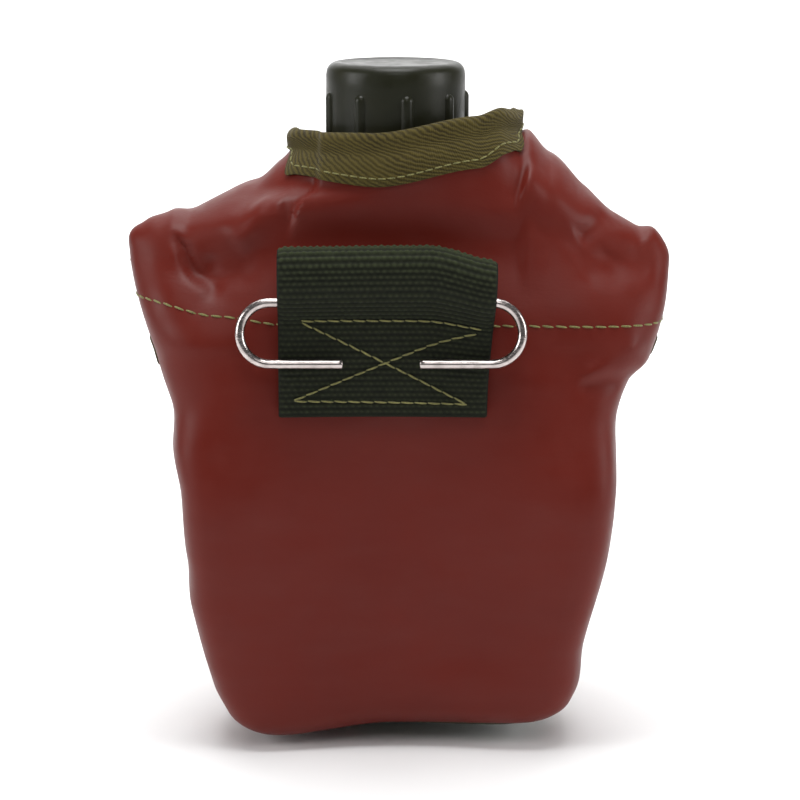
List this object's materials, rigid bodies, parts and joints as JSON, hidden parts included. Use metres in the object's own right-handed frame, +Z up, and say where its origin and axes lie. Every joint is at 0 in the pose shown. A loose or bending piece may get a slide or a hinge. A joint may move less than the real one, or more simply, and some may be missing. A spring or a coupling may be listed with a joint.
{
  "type": "canteen",
  "caption": "Kidney-shaped canteen with a screw cap, in a stitched leatherette cover with snap-down shoulder flaps and a wire belt hook in a webbing loop.",
  "frame": {"origin": "underside of the cover's base, below the axis of the neck", "axes": "+Z up through the neck, -Y towards the wearer's hip (hollow side, with the hanger), +X to the right when looking along +Y"},
  "size_m": [0.1534, 0.0857, 0.1868],
  "materials": {
    "leatherette": "grained brick-red leatherette, satin",
    "binding_tape": "khaki twill tape",
    "webbing": "dark green basket-weave webbing",
    "pile": "short pile",
    "cap_plastic": "semi-gloss dark olive plastic",
    "bottle_plastic": "moulded dark olive plastic",
    "liner_rubber": "soft black rubber",
    "wire_steel": "bright drawn steel wire",
    "snap_metal": "darkened brass"
  },
  "bodies": {
    "root": {"bottle": "bottle_plastic", "neck_ring": "cap_plastic", "retainer_strap": "cap_plastic", "cover_back": "leatherette", "cover_front": "leatherette", "cover_base": "leatherette", "lining_back": "pile", "lining_front": "pile", "lining_base": "pile", "collar_binding": "binding_tape", "front_binding": "binding_tape", "left_snap_post": "snap_metal", "left_snap_stud": "snap_metal", "right_snap_post": "snap_metal", "right_snap_stud": "snap_metal", "hanger_webbing": "webbing"},
    "cap_ring": {"cap_ring": "cap_plastic"},
    "cap": {"cap": "cap_plastic", "cap_liner": "liner_rubber"},
    "hook": {"hanger_hook": "wire_steel"},
    "left_flap": {"left_flap": "leatherette", "left_flap_binding": "binding_tape", "left_snap_socket": "snap_metal", "left_snap_cap": "snap_metal"},
    "right_flap": {"right_flap": "leatherette", "right_flap_binding": "binding_tape", "right_snap_socket": "snap_metal", "right_snap_cap": "snap_metal"}
  },
  "joints": [
    {"name": "cap_rise", "type": "slide", "parent": "root", "child": "cap_ring", "axis": [0, 0, 1], "range_m": [0, 0.006]},
    {"name": "cap_turn", "type": "hinge", "parent": "cap_ring", "child": "cap", "pos_m": [0, 0, 0.17], "axis": [0, 0, 1], "range_deg": [0, 540]},
    {"name": "hanger_swing", "type": "hinge", "parent": "root", "child": "hook", "pos_m": [-0.002, -0.04058, 0.1262], "axis": [-1, 0, 0], "range_deg": [0, 150]},
    {"name": "left_flap_open", "type": "hinge", "parent": "root", "child": "left_flap", "pos_m": [-0.03556, 0.00015, 0.16106], "axis": [0.8668, 0.2029, 0.4556], "range_deg": [0, 150]},
    {"name": "right_flap_open", "type": "hinge", "parent": "root", "child": "right_flap", "pos_m": [0.03556, 0.00015, 0.16106], "axis": [0.8668, -0.2029, -0.4556], "range_deg": [0, 150]}
  ],
  "couplings": [
    {"joint": "cap_turn", "follows": "cap_rise", "rad_per_m": 1570.8}
  ]
}
